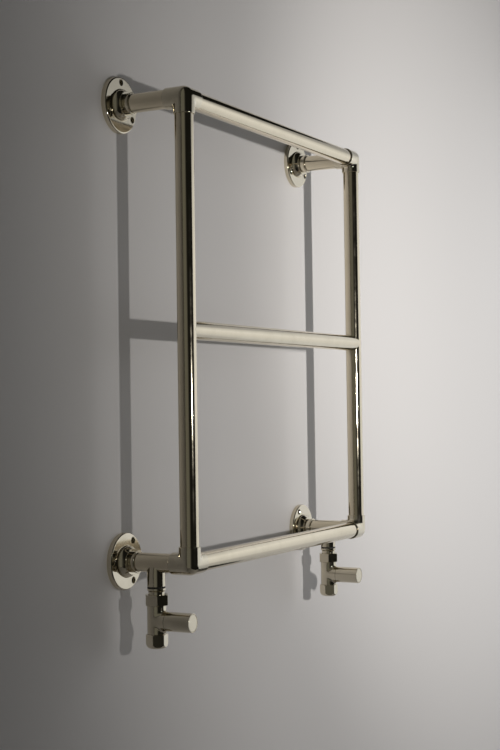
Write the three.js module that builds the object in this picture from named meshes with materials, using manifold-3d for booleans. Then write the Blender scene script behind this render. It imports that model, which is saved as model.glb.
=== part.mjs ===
// Wall-hung towel radiator of nickel-plated brass tube, with a manual valve on each side.
// Two uprights and three rails are joined by three-way corner fittings. Four short standoffs carry the
// frame off the wall, each in a round wall plate. A valve hangs under each lower standoff.
//
// Units are millimetres and +Z is up. +X runs along the wall and +Y into it. The origin lies on the
// wall's surface, midway between the four wall plates.

import * as THREE from 'three';
import { mergeVertices } from 'three/addons/utils/BufferGeometryUtils.js';
import Module from 'manifold-3d';

const wasm = await Module();
wasm.setup();

// ---------------------------------------------------------------- driving dimensions

// frame, between tube centre lines
const FRAME_WIDTH = 600;
const FRAME_HEIGHT = 675;
const STANDOFF_REACH = 115;      // wall surface to the frame's centre plane

// tube
const TUBE_DIAMETER = 28;
const TUBE_WALL = 1.5;
const WATERWAY_DIAMETER = 18;    // hole in a tube's side where another tube joins it

// three-way corner fitting
const SOCKET_WALL = 1.7;
const SOCKET_REACH_LEVEL = 28;   // corner centre to the mouths along the rail and the standoff
const SOCKET_REACH_UPRIGHT = 25; // corner centre to the mouth along the upright
const TUBE_STOP = 15;            // corner centre to the end of each tube inside the fitting

// wall plate with its hub
const PLATE_DIAMETER = 84;
const PLATE_THICKNESS = 8;
const PLATE_EDGE_ROUND = 2.2;
const HUB_BASE_DIAMETER = 48;
const HUB_RING_DIAMETER = 38.6;
const HUB_HEIGHT = 18.5;         // wall surface to the hub's mouth
const HUB_RING_LENGTH = 1.8;
const HUB_FLOOR = 7;             // solid metal behind the end of the standoff
const SCREW_CIRCLE_DIAMETER = 68;
const SCREW_HOLE_DIAMETER = 8.5;
const SCREW_SINK_DIAMETER = 10.6;
const SCREW_SINK_DEPTH = 1.05;
const SCREW_COUNT = 3;

// collar on the standoff, in front of the hub
const COLLAR_WAIST_DIAMETER = 31.4;
const COLLAR_BEAD_DIAMETER = 33.4;
const COLLAR_LENGTH = 10.4;
const COLLAR_BEAD_START = 7.8;
const COLLAR_BEAD_LENGTH = 2.2;

// valve station
const VALVE_OFFSET = 58;         // wall surface to the valve's upright axis
const VALVE_DROP = 84.3;         // lower rail's centre line to the handle's axis

// threaded tail stub under the standoff, and its washer
const STUB_DIAMETER = 26.5;
const STUB_END = 34.2;           // lower rail's centre line to the stub's lower end
const TAIL_THREAD_DIAMETER = 20;
const SEAL_THICKNESS = 1.8;

// union tail
const TAIL_FLANGE_DIAMETER = 27.2;
const TAIL_FLANGE_THICKNESS = 3;
const TAIL_NECK_DIAMETER = 24;
const TAIL_COLLAR_THICKNESS = 3;
const TAIL_SPIGOT_LENGTH = 13;
const TAIL_BORE = 15;

// union nut and compression nut
const UNION_NUT_ACROSS_FLATS = 32;
const PIPE_NUT_ACROSS_FLATS = 28.5;
const UNION_THREAD_DIAMETER = 26.2;
const UNION_NUT_HEIGHT = 15.4;
const UNION_NUT_ROOF = 1.8;
const UNION_NUT_TURN = 35;       // degrees from +X to a corner, on the left-hand valve
const PIPE_NUT_TURN = 9;         // the same for the compression nut; the right-hand one has none
const PIPE_NUT_HEIGHT = 20.6;
const PIPE_NUT_STRAIGHT = 11.5;
const PIPE_NUT_NOSE_DIAMETER = 20;
const PIPE_THREAD_DIAMETER = 24;
const PIPE_DIAMETER = 15;
const NUT_CHAMFER = 1.1;

// olive in the compression joint
const OLIVE_LENGTH = 6.5;
const OLIVE_FLAT_LENGTH = 2.5;
const OLIVE_DIAMETER = 18.4;
const OLIVE_END_DIAMETER = 16.6;

// valve body, measured from the handle's axis
const BODY_DIAMETER = 28;
const BODY_ABOVE = 22.7;
const BODY_BELOW = 18.4;
const UPPER_NECK_LENGTH = 10.3;
const LOWER_NECK_LENGTH = 10.6;
const PIPE_SOCKET_DEPTH = 16;
const BRANCH_DIAMETER = 27.6;
const BRANCH_REACH = 19;         // upright axis to the mouth of the branch
const CHAMBER_DIAMETER = 18;
const SEAT_DIAMETER = 9;
const PASSAGE_DIAMETER = 9;
const PASSAGE_SHIFT = 5.5;       // the passages lie before and behind the seat
const UPPER_BORE_DIAMETER = 17;

// plug that closes on the seat
const PLUG_DIAMETER = 12.4;
const PLUG_LENGTH = 8.4;
const PLUG_LIFT = 3;             // travel from shut to fully open
const WASHER_DIAMETER = 11.6;
const WASHER_THICKNESS = 2;

// bonnet, screwed into the branch
const BONNET_SLEEVE_START = 12;
const BONNET_SLEEVE_WALL = 2.1;
const BONNET_FLANGE_DIAMETER = 23.6;
const BONNET_FLANGE_THICKNESS = 3;
const BONNET_NECK_DIAMETER = 14;
const BONNET_END = 34;

// spindle, its seal ring and its square end
const SPINDLE_DIAMETER = 8;
const SPINDLE_SCREW_DIAMETER = 5.2;
const SPINDLE_SCREW_LENGTH = 7.2;
const SPINDLE_COLLAR_DIAMETER = 12;
const SPINDLE_COLLAR_THICKNESS = 1.5;
const SPINDLE_SQUARE = 6.2;
const O_RING_START = 25;
const O_RING_SECTION = 1;
const O_RING_GROOVE_DEPTH = 1.3;

// handle, its screw and its cap
const HANDLE_DIAMETER = 28;
const HANDLE_END = 61;           // upright axis to the handle's end face
const HANDLE_WALL = 1.7;
const HANDLE_SKIRT_DEPTH = 17;
const HANDLE_EDGE = 0.6;
const SPINDLE_END = 49.7;
const HANDLE_SCREW_HEAD_DIAMETER = 9;
const HANDLE_SCREW_HEAD_HEIGHT = 3.2;
const HANDLE_SCREW_THREAD = 3.4;
const HANDLE_SCREW_LENGTH = 9;
const CAP_DIAMETER = 24.6;
const CAP_THICKNESS = 1.7;

// air vent on the wall side of the top rail
const VENT_FROM_UPRIGHT = 60;
const VENT_BOSS_DIAMETER = 10;
const VENT_BOSS_LENGTH = 6;
const VENT_BORE = 6.6;
const VENT_PORT = 3;
const VENT_KEY_SQUARE = 5;
const VENT_KEY_LENGTH = 4;
const VENT_SCREW_INSET = 5;      // how far the vent screw reaches into its boss

// clearances
const SEAT_GAP = 0.3;            // between pieces that seat on each other
const RUN_GAP = 0.3;             // between pieces that move past each other

// roundness: sides of each turned piece
const TUBE_SIDES = 20;
const FITTING_SIDES = 20;
const PLATE_SIDES = 28;
const VALVE_SIDES = 16;
const NUT_SIDES = 24;
const HOLE_SIDES = 8;

// ---------------------------------------------------------------- derived sizes

const TUBE_RADIUS = TUBE_DIAMETER / 2;
const TUBE_BORE_RADIUS = TUBE_RADIUS - TUBE_WALL;
const SOCKET_BORE_RADIUS = TUBE_RADIUS + SEAT_GAP;
const SOCKET_RADIUS = SOCKET_BORE_RADIUS + SOCKET_WALL;
const COPE_RADIUS = TUBE_RADIUS + SEAT_GAP;
const TUBE_END_AT_WALL = HUB_FLOOR + SEAT_GAP;
const COLLAR_START = HUB_HEIGHT + SEAT_GAP;

// levels along the valve's upright axis, from the handle's axis upwards
const NUT_FOOT = BODY_ABOVE + SEAT_GAP;
const NUT_TOP = NUT_FOOT + UNION_NUT_HEIGHT;
const UPPER_NECK_TOP = BODY_ABOVE + UPPER_NECK_LENGTH;
const TAIL_FOOT = UPPER_NECK_TOP + SEAT_GAP;
const NUT_ROOF_FACE = NUT_TOP - UNION_NUT_ROOF;
const STUB_FOOT = VALVE_DROP - STUB_END;
const SEAL_TOP = STUB_FOOT - SEAT_GAP;
const SEAL_FOOT = SEAL_TOP - SEAL_THICKNESS;
const TAIL_SHOULDER = SEAL_FOOT - SEAT_GAP;

// levels along the valve's upright axis, downwards
const PIPE_NUT_TOP = BODY_BELOW + SEAT_GAP;
const PIPE_NUT_FOOT = PIPE_NUT_TOP + PIPE_NUT_HEIGHT;
const LOWER_NECK_END = BODY_BELOW + LOWER_NECK_LENGTH;
const PIPE_RADIUS = PIPE_DIAMETER / 2 + SEAT_GAP;
const OLIVE_TOP = LOWER_NECK_END - 0.5;
const OLIVE_FOOT = OLIVE_TOP + OLIVE_LENGTH;

// distances along the handle's axis, outwards from the upright axis
const CHAMBER_FLOOR = 1;
const WASHER_BACK = CHAMBER_FLOOR + SEAT_GAP;
const PLUG_BACK = WASHER_BACK + WASHER_THICKNESS + SEAT_GAP;
const PLUG_FRONT = PLUG_BACK + PLUG_LENGTH;
const SPINDLE_COLLAR_BACK = PLUG_FRONT + PLUG_LIFT + RUN_GAP;
const SPINDLE_COLLAR_FRONT = SPINDLE_COLLAR_BACK + SPINDLE_COLLAR_THICKNESS;
const BONNET_WEB = SPINDLE_COLLAR_FRONT + RUN_GAP;
const SPINDLE_TIP = SPINDLE_COLLAR_BACK - SPINDLE_SCREW_LENGTH;
const PLUG_HOLE_FLOOR = SPINDLE_TIP - PLUG_LIFT - RUN_GAP;
const BONNET_SHOULDER = BRANCH_REACH + SEAT_GAP;
const HANDLE_BACK = BRANCH_REACH + RUN_GAP;
const HANDLE_WEB = HANDLE_BACK + HANDLE_SKIRT_DEPTH;
const HANDLE_SCREW_SEAT = SPINDLE_END + SEAT_GAP;
const CAP_BACK = HANDLE_END - CAP_THICKNESS;

// ---------------------------------------------------------------- materials

function metal(name, colour, roughness, metalness) {
  const material = new THREE.MeshStandardMaterial({ color: colour, roughness, metalness });
  material.name = name;
  return material;
}

const nickel = () => metal('polished_nickel', 0xcfc5b4, 0.08, 1);
const brass = () => metal('brass', 0xb59a58, 0.3, 1);
const steel = () => metal('steel', 0x9b9ca0, 0.35, 1);
const rubber = () => metal('black_rubber', 0x14130f, 0.7, 0);

// ---------------------------------------------------------------- geometry helpers

const QUARTER_TURN = Math.PI / 2;

// a round solid about +Z, from [radius, height] corners that run anticlockwise round its half section
function turned(profile, sides) {
  const points = profile.map(([radius, height]) => new THREE.Vector2(radius, height));
  return new THREE.LatheGeometry(points, sides).rotateX(QUARTER_TURN);
}

// the half section of a ring, closed on itself
function ringProfile(innerRadius, outerRadius, low, high) {
  return [
    [innerRadius, low],
    [outerRadius, low],
    [outerRadius, high],
    [innerRadius, high],
    [innerRadius, low],
  ];
}

// a plain cylinder about +Z between two heights
function rod(radius, low, high, sides) {
  const geometry = new THREE.CylinderGeometry(radius, radius, high - low, sides);
  return geometry.rotateX(QUARTER_TURN).translate(0, 0, (low + high) / 2);
}

// a hexagonal bar about +Z between two heights, with one corner at a given angle from +X
function hexagon(acrossFlats, low, high, cornerAngle) {
  const cornerRadius = acrossFlats / 2 / Math.cos(Math.PI / 6);
  const bar = rod(cornerRadius, low, high, 6);
  return bar.rotateZ(QUARTER_TURN + THREE.MathUtils.degToRad(cornerAngle));
}

// the same solid with its own +Z turned to point along a named axis
function along(geometry, axis) {
  if (axis === '+X') return geometry.rotateY(QUARTER_TURN);
  if (axis === '+Y') return geometry.rotateX(-QUARTER_TURN);
  if (axis === '-Y') return geometry.rotateX(QUARTER_TURN);
  if (axis === '-Z') return geometry.rotateX(Math.PI);
  return geometry;
}

function toSolid(geometry) {
  const bare = geometry.clone();
  bare.deleteAttribute('normal');
  bare.deleteAttribute('uv');
  const welded = mergeVertices(bare, 1e-4);
  const corners = welded.index.array;
  const triangles = [];
  for (let i = 0; i < corners.length; i += 3) {
    const [a, b, c] = [corners[i], corners[i + 1], corners[i + 2]];
    if (a !== b && b !== c && c !== a) triangles.push(a, b, c);
  }
  const mesh = new wasm.Mesh({
    numProp: 3,
    vertProperties: new Float32Array(welded.attributes.position.array),
    triVerts: new Uint32Array(triangles),
  });
  return new wasm.Manifold(mesh);
}

function toGeometry(solid) {
  const mesh = solid.getMesh();
  const geometry = new THREE.BufferGeometry();
  geometry.setAttribute('position', new THREE.BufferAttribute(new Float32Array(mesh.vertProperties), 3));
  geometry.setIndex(new THREE.BufferAttribute(new Uint32Array(mesh.triVerts), 1));
  geometry.computeVertexNormals();
  return geometry;
}

// join all of the first list, then cut away all of the second
function shaped(added, removed = []) {
  let solid = toSolid(added[0]);
  for (const piece of added.slice(1)) {
    solid = solid.add(toSolid(piece));
  }
  for (const piece of removed) {
    solid = solid.subtract(toSolid(piece));
  }
  return toGeometry(solid);
}

function common(first, second) {
  return toGeometry(toSolid(first).intersect(toSolid(second)));
}

function addPart(parent, name, geometry, material) {
  const mesh = new THREE.Mesh(geometry, material);
  mesh.name = name;
  parent.add(mesh);
  return mesh;
}

function addGroup(parent, x, y, z) {
  const child = new THREE.Group();
  child.position.set(x, y, z);
  parent.add(child);
  return child;
}

// ---------------------------------------------------------------- frame pieces

// a tube about +Z between two heights
function tube(low, high) {
  return turned(ringProfile(TUBE_BORE_RADIUS, TUBE_RADIUS, low, high), TUBE_SIDES);
}

// an upright between its two corner fittings, with a waterway that opens along +X to the middle rail
function upright() {
  const halfLength = FRAME_HEIGHT / 2 - TUBE_STOP;
  const waterway = along(rod(WATERWAY_DIAMETER / 2, 0, TUBE_DIAMETER, HOLE_SIDES), '+X');
  return shaped([tube(-halfLength, halfLength)], [waterway]);
}

// the top or bottom rail, centred on the origin and lying along X
function endRail() {
  const halfLength = FRAME_WIDTH / 2 - TUBE_STOP;
  return along(tube(-halfLength, halfLength), '+X');
}

// the top rail has a port through its wall side for the air vent
function topRail() {
  const port = along(rod(VENT_PORT / 2, 0, TUBE_DIAMETER, HOLE_SIDES), '+Y');
  port.translate(FRAME_WIDTH / 2 - VENT_FROM_UPRIGHT, 0, 0);
  return shaped([endRail()], [port]);
}

// the middle rail's ends are coped to fit round the uprights
function middleRail() {
  const halfWidth = FRAME_WIDTH / 2;
  const copes = [-halfWidth, halfWidth].map((x) => {
    return rod(COPE_RADIUS, -TUBE_DIAMETER, TUBE_DIAMETER, TUBE_SIDES).translate(x, 0, 0);
  });
  return shaped([along(tube(-halfWidth, halfWidth), '+X')], copes);
}

// a corner fitting with sockets along +X, +Y and -Z
function cornerFitting() {
  const legs = [
    ['+X', SOCKET_REACH_LEVEL],
    ['+Y', SOCKET_REACH_LEVEL],
    ['-Z', SOCKET_REACH_UPRIGHT],
  ];
  const outside = [new THREE.SphereGeometry(SOCKET_RADIUS, FITTING_SIDES, FITTING_SIDES / 2)];
  const inside = [];
  for (const [axis, reach] of legs) {
    outside.push(along(rod(SOCKET_RADIUS, 0, reach, FITTING_SIDES), axis));
    inside.push(along(rod(TUBE_BORE_RADIUS, 0, reach, FITTING_SIDES), axis));
    const socketFloor = TUBE_STOP - SEAT_GAP;
    inside.push(along(rod(SOCKET_BORE_RADIUS, socketFloor, reach + 1, FITTING_SIDES), axis));
  }
  return shaped(outside, inside);
}

// a standoff along +Y, measured from the corner's centre to the floor of the hub
function standoff(hasValve) {
  const wallEnd = STANDOFF_REACH - TUBE_END_AT_WALL;
  const bare = along(tube(TUBE_STOP, wallEnd), '+Y');
  if (!hasValve) return bare;
  const waterway = along(rod(WATERWAY_DIAMETER / 2, 0, TUBE_DIAMETER, HOLE_SIDES), '-Z');
  waterway.translate(0, STANDOFF_REACH - VALVE_OFFSET, 0);
  return shaped([bare], [waterway]);
}

// a wall plate about +Z, with its back on z = 0 and its hub rising from the front
function wallPlate() {
  const rim = PLATE_DIAMETER / 2;
  const hubBase = HUB_BASE_DIAMETER / 2;
  const hubRing = HUB_RING_DIAMETER / 2;
  const shoulder = PLATE_THICKNESS - PLATE_EDGE_ROUND;
  const ringFoot = HUB_HEIGHT - HUB_RING_LENGTH;
  const domeHeight = ringFoot - PLATE_THICKNESS;
  const profile = [
    [0, 0],
    [rim, 0],
    [rim, shoulder],
    [rim - PLATE_EDGE_ROUND * 0.3, shoulder + PLATE_EDGE_ROUND * 0.7],
    [rim - PLATE_EDGE_ROUND, PLATE_THICKNESS],
    [hubBase, PLATE_THICKNESS],
  ];
  const DOME_STEPS = 3;
  for (let step = 1; step <= DOME_STEPS; step += 1) {
    const share = step / DOME_STEPS;
    const radius = hubRing + (hubBase - hubRing) * Math.cos(share * QUARTER_TURN);
    profile.push([radius, PLATE_THICKNESS + domeHeight * share]);
  }
  profile.push([hubRing, HUB_HEIGHT], [SOCKET_BORE_RADIUS, HUB_HEIGHT]);
  profile.push([SOCKET_BORE_RADIUS, HUB_FLOOR], [0, HUB_FLOOR]);
  const holes = [];
  for (let hole = 0; hole < SCREW_COUNT; hole += 1) {
    const angle = QUARTER_TURN + (hole * 2 * Math.PI) / SCREW_COUNT;
    const cutter = turned([
      [0, -1],
      [SCREW_HOLE_DIAMETER / 2, -1],
      [SCREW_HOLE_DIAMETER / 2, PLATE_THICKNESS - SCREW_SINK_DEPTH],
      [SCREW_SINK_DIAMETER / 2, PLATE_THICKNESS],
      [SCREW_SINK_DIAMETER / 2, PLATE_THICKNESS + 1],
      [0, PLATE_THICKNESS + 1],
    ], HOLE_SIDES);
    const radius = SCREW_CIRCLE_DIAMETER / 2;
    holes.push(cutter.translate(radius * Math.cos(angle), radius * Math.sin(angle), 0));
  }
  return shaped([turned(profile, PLATE_SIDES)], holes);
}

// the collar about +Z, with its waist at z = 0 and its bead towards the frame
function wallCollar() {
  const bore = SOCKET_BORE_RADIUS;
  const waist = COLLAR_WAIST_DIAMETER / 2;
  const bead = COLLAR_BEAD_DIAMETER / 2;
  const beadEnd = COLLAR_BEAD_START + COLLAR_BEAD_LENGTH;
  const middle = COLLAR_BEAD_START + COLLAR_BEAD_LENGTH / 2;
  const lip = bore + (bead - bore) * 0.3;
  return turned([
    [bore, 0],
    [waist, 0],
    [waist, COLLAR_BEAD_START],
    [bead, middle - COLLAR_BEAD_LENGTH * 0.3],
    [bead, middle + COLLAR_BEAD_LENGTH * 0.3],
    [waist, beadEnd],
    [lip, COLLAR_LENGTH],
    [bore, COLLAR_LENGTH],
    [bore, 0],
  ], TUBE_SIDES);
}

// ---------------------------------------------------------------- valve pieces
// Heights are measured from the handle's axis, along the valve's upright axis.

// a stub under the standoff, coped to its round underside
function tailStub() {
  const outside = rod(STUB_DIAMETER / 2, STUB_FOOT, VALVE_DROP, VALVE_SIDES);
  const thread = rod(TAIL_THREAD_DIAMETER / 2, STUB_FOOT - 1, VALVE_DROP, VALVE_SIDES);
  const cope = along(rod(COPE_RADIUS, -TUBE_DIAMETER, TUBE_DIAMETER, TUBE_SIDES), '+Y');
  return shaped([outside], [thread, cope.translate(0, 0, VALVE_DROP)]);
}

function tailSeal() {
  const bore = TAIL_THREAD_DIAMETER / 2 + SEAT_GAP;
  return turned(ringProfile(bore, STUB_DIAMETER / 2, SEAL_FOOT, SEAL_TOP), VALVE_SIDES);
}

// the tail screws into the stub above and is held down on the body by the union nut
function unionTail() {
  const bore = TAIL_BORE / 2;
  const spigot = TAIL_THREAD_DIAMETER / 2 - SEAT_GAP;
  const flange = TAIL_FLANGE_DIAMETER / 2;
  const neck = TAIL_NECK_DIAMETER / 2;
  const collar = UNION_THREAD_DIAMETER / 2;
  const flangeFoot = TAIL_SHOULDER - TAIL_FLANGE_THICKNESS;
  const collarTop = TAIL_FOOT + TAIL_COLLAR_THICKNESS;
  const spigotTop = TAIL_SHOULDER + TAIL_SPIGOT_LENGTH;
  return turned([
    [bore, TAIL_FOOT],
    [collar, TAIL_FOOT],
    [collar, collarTop],
    [neck, collarTop],
    [neck, flangeFoot - (flange - neck)],
    [flange, flangeFoot],
    [flange, TAIL_SHOULDER],
    [spigot, TAIL_SHOULDER],
    [spigot, spigotTop],
    [bore, spigotTop],
    [bore, TAIL_FOOT],
  ], VALVE_SIDES);
}

function unionNut(cornerAngle) {
  const corner = UNION_NUT_ACROSS_FLATS / 2 / Math.cos(Math.PI / 6);
  const blank = turned([
    [0, NUT_FOOT],
    [corner - NUT_CHAMFER, NUT_FOOT],
    [corner, NUT_FOOT + NUT_CHAMFER],
    [corner, NUT_TOP - NUT_CHAMFER],
    [corner - NUT_CHAMFER, NUT_TOP],
    [0, NUT_TOP],
  ], NUT_SIDES);
  const bar = hexagon(UNION_NUT_ACROSS_FLATS, NUT_FOOT, NUT_TOP, cornerAngle);
  const threadRadius = UNION_THREAD_DIAMETER / 2 + SEAT_GAP;
  const roofRadius = TAIL_NECK_DIAMETER / 2 + SEAT_GAP;
  const thread = rod(threadRadius, NUT_FOOT - 1, NUT_ROOF_FACE, VALVE_SIDES);
  const roofHole = rod(roofRadius, NUT_ROOF_FACE - 1, NUT_TOP + 1, VALVE_SIDES);
  return shaped([common(bar, blank)], [thread, roofHole]);
}

// the compression nut is straight at the top and rounds in to a nose at the foot
function pipeNut(cornerAngle) {
  const corner = PIPE_NUT_ACROSS_FLATS / 2 / Math.cos(Math.PI / 6);
  const nose = PIPE_NUT_NOSE_DIAMETER / 2;
  const straightEnd = PIPE_NUT_TOP + PIPE_NUT_STRAIGHT;
  const blankProfile = [[0, -PIPE_NUT_FOOT]];
  const NOSE_STEPS = 3;
  for (let step = 0; step <= NOSE_STEPS; step += 1) {
    const share = (step / NOSE_STEPS) * QUARTER_TURN;
    const radius = nose + (corner - nose) * Math.sin(share);
    const height = -PIPE_NUT_FOOT + (PIPE_NUT_FOOT - straightEnd) * (1 - Math.cos(share));
    blankProfile.push([radius, height]);
  }
  blankProfile.push([corner, -PIPE_NUT_TOP - NUT_CHAMFER]);
  blankProfile.push([corner - NUT_CHAMFER, -PIPE_NUT_TOP], [0, -PIPE_NUT_TOP]);
  const bar = hexagon(PIPE_NUT_ACROSS_FLATS, -PIPE_NUT_FOOT, -PIPE_NUT_TOP, cornerAngle);
  const threadRadius = PIPE_THREAD_DIAMETER / 2 + SEAT_GAP;
  const oliveRadius = OLIVE_DIAMETER / 2 + SEAT_GAP;
  const oliveEndRadius = OLIVE_END_DIAMETER / 2 + SEAT_GAP;
  const threadEnd = LOWER_NECK_END + 1;
  const oliveTaper = (OLIVE_LENGTH - OLIVE_FLAT_LENGTH) / 2;
  const bore = turned([
    [0, -PIPE_NUT_FOOT - 1],
    [PIPE_RADIUS, -PIPE_NUT_FOOT - 1],
    [PIPE_RADIUS, -OLIVE_FOOT - SEAT_GAP],
    [oliveEndRadius, -OLIVE_FOOT - SEAT_GAP],
    [oliveRadius, -OLIVE_FOOT + oliveTaper],
    [oliveRadius, -threadEnd],
    [threadRadius, -threadEnd],
    [threadRadius, -PIPE_NUT_TOP + 1],
    [0, -PIPE_NUT_TOP + 1],
  ], VALVE_SIDES);
  return shaped([common(bar, turned(blankProfile, NUT_SIDES))], [bore]);
}

function olive() {
  const bore = PIPE_DIAMETER / 2 + SEAT_GAP / 2;
  const outside = OLIVE_DIAMETER / 2;
  const end = OLIVE_END_DIAMETER / 2;
  const taper = (OLIVE_LENGTH - OLIVE_FLAT_LENGTH) / 2;
  return turned([
    [bore, -OLIVE_FOOT],
    [end, -OLIVE_FOOT],
    [outside, -OLIVE_FOOT + taper],
    [outside, -OLIVE_TOP - taper],
    [end, -OLIVE_TOP],
    [bore, -OLIVE_TOP],
    [bore, -OLIVE_FOOT],
  ], VALVE_SIDES);
}

// the body: water enters from the pipe below, passes the seat towards the handle and leaves upwards
function valveBody() {
  const trunk = rod(BODY_DIAMETER / 2, -BODY_BELOW, BODY_ABOVE, VALVE_SIDES);
  const upperNeck = rod(UNION_THREAD_DIAMETER / 2, 0, UPPER_NECK_TOP, VALVE_SIDES);
  const lowerNeck = rod(PIPE_THREAD_DIAMETER / 2, -LOWER_NECK_END, 0, VALVE_SIDES);
  const branch = along(rod(BRANCH_DIAMETER / 2, 0, BRANCH_REACH, VALVE_SIDES), '-Y');
  const chamber = along(rod(CHAMBER_DIAMETER / 2, CHAMBER_FLOOR, BRANCH_REACH + 1, VALVE_SIDES), '-Y');
  const seatHole = along(rod(SEAT_DIAMETER / 2, -PASSAGE_SHIFT, CHAMBER_FLOOR + 1, VALVE_SIDES), '-Y');
  const socketTop = -LOWER_NECK_END + PIPE_SOCKET_DEPTH;
  const inlet = rod(PASSAGE_DIAMETER / 2, -LOWER_NECK_END, SEAT_DIAMETER / 2, HOLE_SIDES);
  inlet.translate(0, PASSAGE_SHIFT, 0);
  const outlet = rod(PASSAGE_DIAMETER / 2, 0, UPPER_NECK_TOP, HOLE_SIDES);
  outlet.translate(0, -PASSAGE_SHIFT - CHAMBER_FLOOR, 0);
  const upperBore = rod(UPPER_BORE_DIAMETER / 2, BODY_ABOVE, UPPER_NECK_TOP + 1, VALVE_SIDES);
  const mouthTaper = (OLIVE_LENGTH - OLIVE_FLAT_LENGTH) / 2;
  const oliveSlope = (OLIVE_DIAMETER - OLIVE_END_DIAMETER) / 2 / mouthTaper;
  const mouthDepth = LOWER_NECK_END - OLIVE_TOP + SEAT_GAP;
  const mouthInner = OLIVE_END_DIAMETER / 2 + SEAT_GAP;
  const mouthOuter = mouthInner + oliveSlope * mouthDepth;
  const pipeSocket = turned([
    [0, -LOWER_NECK_END - 1],
    [mouthOuter, -LOWER_NECK_END - 1],
    [mouthOuter, -LOWER_NECK_END],
    [mouthInner, -LOWER_NECK_END + mouthDepth],
    [PIPE_RADIUS, -LOWER_NECK_END + mouthDepth],
    [PIPE_RADIUS, socketTop],
    [0, socketTop],
  ], VALVE_SIDES);
  return shaped(
    [trunk, upperNeck, lowerNeck, branch],
    [chamber, seatHole, inlet, outlet, upperBore, pipeSocket],
  );
}

// Distances of the pieces below run along the handle's axis, outwards from the upright axis.

function bonnet() {
  const sleeveOuter = CHAMBER_DIAMETER / 2 - SEAT_GAP;
  const sleeveInner = sleeveOuter - BONNET_SLEEVE_WALL;
  const bore = SPINDLE_DIAMETER / 2 + RUN_GAP;
  const flange = BONNET_FLANGE_DIAMETER / 2;
  const neck = BONNET_NECK_DIAMETER / 2;
  const flangeFront = BONNET_SHOULDER + BONNET_FLANGE_THICKNESS;
  return turned([
    [sleeveInner, BONNET_SLEEVE_START],
    [sleeveOuter, BONNET_SLEEVE_START],
    [sleeveOuter, BONNET_SHOULDER],
    [flange, BONNET_SHOULDER],
    [flange, flangeFront],
    [neck, flangeFront],
    [neck, BONNET_END],
    [bore, BONNET_END],
    [bore, BONNET_WEB],
    [sleeveInner, BONNET_WEB],
    [sleeveInner, BONNET_SLEEVE_START],
  ], VALVE_SIDES);
}

function spindle() {
  const screw = SPINDLE_SCREW_DIAMETER / 2;
  const collar = SPINDLE_COLLAR_DIAMETER / 2;
  const shank = SPINDLE_DIAMETER / 2;
  const groove = shank - O_RING_GROOVE_DEPTH;
  const grooveEnd = O_RING_START + O_RING_SECTION + 2 * SEAT_GAP;
  const squareStart = HANDLE_WEB + SEAT_GAP;
  const round = turned([
    [0, SPINDLE_TIP],
    [screw, SPINDLE_TIP],
    [screw, SPINDLE_COLLAR_BACK],
    [collar, SPINDLE_COLLAR_BACK],
    [collar, SPINDLE_COLLAR_FRONT],
    [shank, SPINDLE_COLLAR_FRONT],
    [shank, O_RING_START],
    [groove, O_RING_START],
    [groove, grooveEnd],
    [shank, grooveEnd],
    [shank, squareStart - SEAT_GAP * 2],
    [0, squareStart - SEAT_GAP * 2],
  ], VALVE_SIDES);
  const squareLength = SPINDLE_END - BONNET_END - RUN_GAP;
  const square = new THREE.BoxGeometry(SPINDLE_SQUARE, SPINDLE_SQUARE, squareLength);
  square.translate(0, 0, SPINDLE_END - squareLength / 2);
  const tapping = rod(HANDLE_SCREW_THREAD / 2 + SEAT_GAP, SPINDLE_END - HANDLE_SCREW_LENGTH - SEAT_GAP,
    SPINDLE_END + 1, HOLE_SIDES);
  return shaped([round, square], [tapping]);
}

function oRing() {
  const section = O_RING_SECTION / 2;
  const centre = SPINDLE_DIAMETER / 2 - section;
  const middle = O_RING_START + SEAT_GAP + section;
  const SECTION_SIDES = 6;
  const profile = [];
  for (let side = 0; side <= SECTION_SIDES; side += 1) {
    const angle = ((side % SECTION_SIDES) * 2 * Math.PI) / SECTION_SIDES;
    profile.push([centre + section * Math.cos(angle), middle + section * Math.sin(angle)]);
  }
  return turned(profile, VALVE_SIDES);
}

function valvePlug() {
  const outside = PLUG_DIAMETER / 2;
  const hole = SPINDLE_SCREW_DIAMETER / 2 + RUN_GAP;
  return turned([
    [0, PLUG_BACK],
    [outside, PLUG_BACK],
    [outside, PLUG_FRONT],
    [hole, PLUG_FRONT],
    [hole, PLUG_HOLE_FLOOR],
    [0, PLUG_HOLE_FLOOR],
  ], VALVE_SIDES);
}

function plugWasher() {
  return rod(WASHER_DIAMETER / 2, WASHER_BACK, WASHER_BACK + WASHER_THICKNESS, VALVE_SIDES);
}

function handle() {
  const outside = HANDLE_DIAMETER / 2;
  const skirtBore = outside - HANDLE_WALL;
  const capBore = CAP_DIAMETER / 2 + SEAT_GAP;
  const capFloor = CAP_BACK - SEAT_GAP;
  const screwWell = HANDLE_SCREW_HEAD_DIAMETER / 2 + 1.5;
  const shell = turned([
    [0, HANDLE_WEB],
    [skirtBore, HANDLE_WEB],
    [skirtBore, HANDLE_BACK],
    [outside, HANDLE_BACK],
    [outside, HANDLE_END - HANDLE_EDGE],
    [outside - HANDLE_EDGE, HANDLE_END],
    [capBore, HANDLE_END],
    [capBore, capFloor],
    [screwWell, capFloor],
    [screwWell, HANDLE_SCREW_SEAT],
    [0, HANDLE_SCREW_SEAT],
  ], FITTING_SIDES);
  const squareSide = SPINDLE_SQUARE + 2 * SEAT_GAP;
  const hole = new THREE.BoxGeometry(squareSide, squareSide, HANDLE_END);
  hole.translate(0, 0, HANDLE_END / 2);
  return shaped([shell], [hole]);
}

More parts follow.
